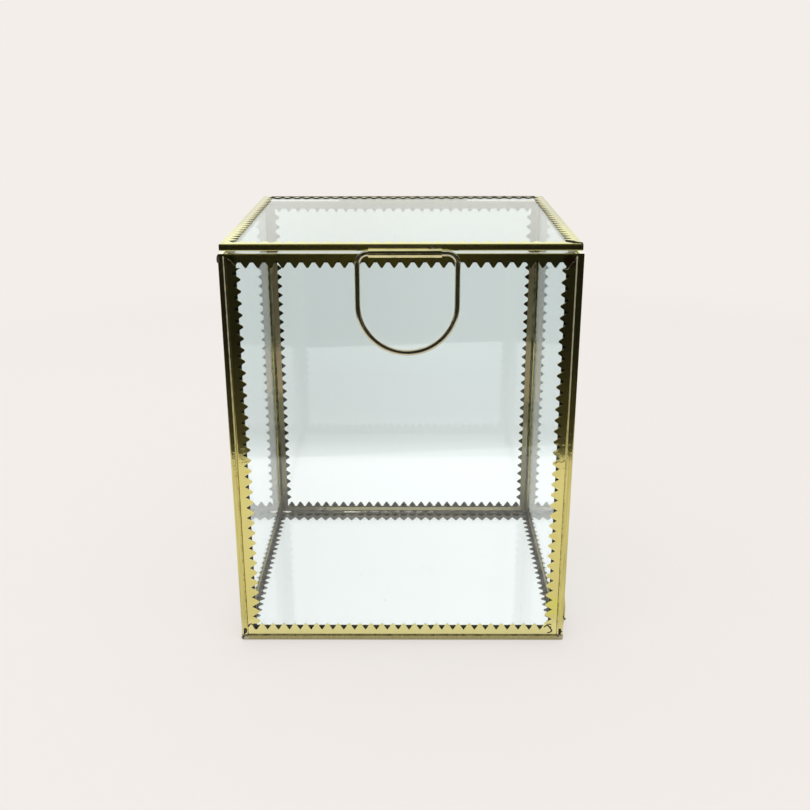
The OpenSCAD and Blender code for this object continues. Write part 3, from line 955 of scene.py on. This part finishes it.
def plane(name, x, y, z):
    """Flat rectangle of the stage, over the ranges x and y at a height."""
    mesh = bpy.data.meshes.new(name)
    corners = [(x[0], y[0], z), (x[1], y[0], z), (x[1], y[1], z), (x[0], y[1], z)]
    mesh.from_pydata(corners, [], [(0, 1, 2, 3)])
    sheet = bpy.data.objects.new(name, mesh)
    bpy.context.scene.collection.objects.link(sheet)
    return sheet


# The white table and the grey wall beyond it, as glass shows them
TABLE_TONE = (1.14, 1.18, 1.18)
WALL_TONES = ((0.785, 0.845, 0.84), (0.69, 0.775, 0.765))
WALL_PLACES = (0.245, 0.60)      # distances behind the middle of the box where it has these tones
# Distances behind the middle of the box, and how bright the table is there: brightest at its
# front edge, and shaded a little in front of the box
TABLE_LEVELS = [(-0.36, 1.50), (-0.25, 0.95), (-0.15, 0.64), (-0.09, 1.0), (0.19, 1.0)]
SEEN_SHARE = 0.8
SEEN_END = 3.2               # beyond this glass shows the plain ground
LEFT_SHADE = 0.91            # the left half of that view is darker by this
MIDDLE = (-0.12, 0.08)       # and turns lighter between these places
FOOT_SHADE = (0.10, 0.10, 0.095)
SHADE_LENGTH = 1.25          # the foot of the back wall's shade, in heights of its strip
SHADE_BLUR = 0.8 * MM


def seen_through(tree, at):
    """Colour that glass shows at a place of the floor: the table's tone times its level, then the
    wall's tones. It changes evenly from place to place, and is darker to the left."""
    steps = [(place, tuple(level * c for c in TABLE_TONE)) for place, level in TABLE_LEVELS]
    steps += zip(WALL_PLACES, WALL_TONES)
    first, last = steps[0][0], steps[-1][0]
    span = {"Value": at[1], "From Min": first, "From Max": last}
    along = add_node(tree, "MapRange", span).outputs["Result"]
    ramp = add_node(tree, "ValToRGB", {0: along})
    marks = ramp.color_ramp.elements
    while len(marks) < len(steps):
        marks.new(1.0)
    brightest = max(max(colour) for _, colour in steps)
    for mark, (place, colour) in zip(marks, steps):
        mark.position = (place - first) / (last - first)
        mark.color = (*(c / brightest for c in colour), 1)
    rightward = smooth_step(tree, at[0], *MIDDLE)
    level = blend_value(tree, rightward, LEFT_SHADE * brightest, brightest)
    scaled = {0: ramp.outputs["Color"], "Scale": level}
    return add_node(tree, "VectorMath", scaled, operation="SCALE").outputs[0]


def foot_shade(tree, at):
    """1 where the toothed strip at the foot of the back wall shades the table in front of it. The
    shade reaches out by the height of the strip there, which zigzags along X."""
    swing = math_node(tree, "PINGPONG", at[0], TOOTH_PITCH / 2)
    to_notch = math_node(tree, "DIVIDE", swing, TOOTH_PITCH / 2)
    height = math_node(tree, "MULTIPLY_ADD", to_notch, VALLEY_W - TIP_W, TIP_W)
    reach = math_node(tree, "MULTIPLY_ADD", height, -SHADE_LENGTH, INNER_Y)
    past = math_node(tree, "SUBTRACT", at[1], reach)
    shaded = smooth_step(tree, past, -SHADE_BLUR, SHADE_BLUR)
    inside = math_node(tree, "LESS_THAN", math_node(tree, "ABSOLUTE", at[0]), INNER_X)
    near = math_node(tree, "LESS_THAN", at[1], INNER_Y)
    return all_of(tree, shaded, inside, near)


def floor_material():
    """Pale matt floor that turns into plain ground far away. Through glass it shows a white
    table with a cool grey wall behind, and glass mirrors a dark room in front of it."""
    material, tree = new_material("pale_floor")
    point, at = object_point(tree)
    path = add_node(tree, "LightPath").outputs
    far = from_origin(tree, point)
    lifted = math_node(tree, "MULTIPLY", path["Is Camera Ray"], SHADE_LIFT)
    away = any_of(tree, smooth_step(tree, far, FADE_START, FADE_END), lifted)
    matt = add_node(tree, "BsdfDiffuse", {"Color": PALE}).outputs[0]
    ground = mix_shaders(tree, away, matt, emission(tree, PALE))

    shade = foot_shade(tree, at)
    colour = blend_colour(tree, shade, seen_through(tree, at), FOOT_SHADE)
    skewed = math_node(tree, "MULTIPLY_ADD", at[0], TABLE_SKEW, at[1])
    aside = math_node(tree, "ABSOLUTE", at[0])
    room = all_of(tree, smooth_step(tree, skewed, TABLE_FRONT, TABLE_FRONT - TABLE_BLUR),
                  smooth_step(tree, aside, *ROOM_ASIDE),
                  math_node(tree, "GREATER_THAN", path["Glossy Depth"], 0.5))
    seen = emission(tree, blend_colour(tree, room, colour, DARK_ROOM))
    share = all_of(tree, any_of(tree, shade, room, SEEN_SHARE),
                   smooth_step(tree, far, SEEN_END, SEEN_END / 2), path["Is Transmission Ray"])
    add_node(tree, "OutputMaterial", {"Surface": mix_shaders(tree, share, ground, seen)})
    return material


def room_material():
    """Dark card that shines faintly into metal: lighter close to the table, with a glow in the
    room beyond it."""
    material, tree = new_material("dark_room")
    point, at = object_point(tree)
    near = smooth_step(tree, at[1], CARD_START - CARD_FADE, CARD_START)
    colour = blend_colour(tree, near, DARK_ROOM, EDGE_COLOUR)
    place, outer, inner = GLOW
    glow = smooth_step(tree, distance(tree, point, place), outer, inner)
    colour = blend_colour(tree, glow, colour, GLOW_COLOUR)
    add_node(tree, "OutputMaterial", {"Surface": emission(tree, colour)})
    return material


def add_card(name, look, x, y):
    """Card that only mirror images meet: no view, lamp, matt surface or glass sees it."""
    card = plane(name, x, y, CARD_Z)
    card.data.materials.append(look)
    card.visible_camera = False
    card.visible_diffuse = False
    card.visible_transmission = False
    card.visible_shadow = False


def set_world():
    """Even light all round; seen straight on it is the plain ground. Mirrors find it pale behind
    the box, greyer overhead, and dark at the front and the sides."""
    world = bpy.data.worlds.new("studio")
    bpy.context.scene.world = world
    world.use_nodes = True
    tree = world.node_tree
    tree.nodes.clear()
    direction = add_node(tree, "TexCoord").outputs["Generated"]
    right, back, up = add_node(tree, "SeparateXYZ", {0: direction}).outputs
    leftward = smooth_step(tree, right, *LEFT_EDGE)
    horizon = blend_colour(tree, leftward, BACKDROP, LEFT_BACKDROP)
    backdrop = blend_colour(tree, smooth_step(tree, up, *CEILING_EDGE), horizon, CEILING)
    behind = math_node(tree, "MULTIPLY_ADD", back, REAR_SHARE, up)
    mirrored = blend_colour(tree, smooth_step(tree, behind, *REAR_EDGE), DARK_ROOM, backdrop)
    path = add_node(tree, "LightPath").outputs
    lit = blend_colour(tree, path["Is Glossy Ray"], WORLD_LIGHT, mirrored)
    seen = any_of(tree, path["Is Camera Ray"], path["Is Transmission Ray"])
    light = add_node(tree, "Background", {"Color": blend_colour(tree, seen, lit, PALE)})
    add_node(tree, "OutputWorld", {"Surface": light.outputs[0]})


def add_softbox(name, place, aim, size, power):
    """Square area lamp that looks from its place to its aim."""
    data = bpy.data.lights.new(name, "AREA")
    data.size = size
    data.energy = power
    lamp = bpy.data.objects.new(name, data)
    lamp.visible_glossy = False
    bpy.context.scene.collection.objects.link(lamp)
    lamp.location = place
    lamp.rotation_euler = (Vector(aim) - Vector(place)).to_track_quat("-Z", "Y").to_euler()


floor = plane("floor", (-FLOOR_HALF, FLOOR_HALF), (-FLOOR_HALF, FLOOR_HALF), FLOOR_Z)
floor.data.materials.append(floor_material())
dark_room = room_material()
add_card("dark_front", dark_room, (-CARD_REACH, CARD_REACH), (CARD_START - CARD_REACH, CARD_START))
add_card("dark_left", dark_room, (-CARD_REACH, -TABLE_SIDE), (CARD_START, CARD_BACK))
add_card("dark_right", dark_room, (TABLE_SIDE, CARD_REACH), (CARD_START, CARD_BACK))
set_world()
add_softbox("overhead", place=(-0.35, -0.2, 1.7), aim=(0, 0, 0.1), size=2.0, power=9.5)
add_camera()
bpy.context.scene.view_settings.view_transform = "Standard"
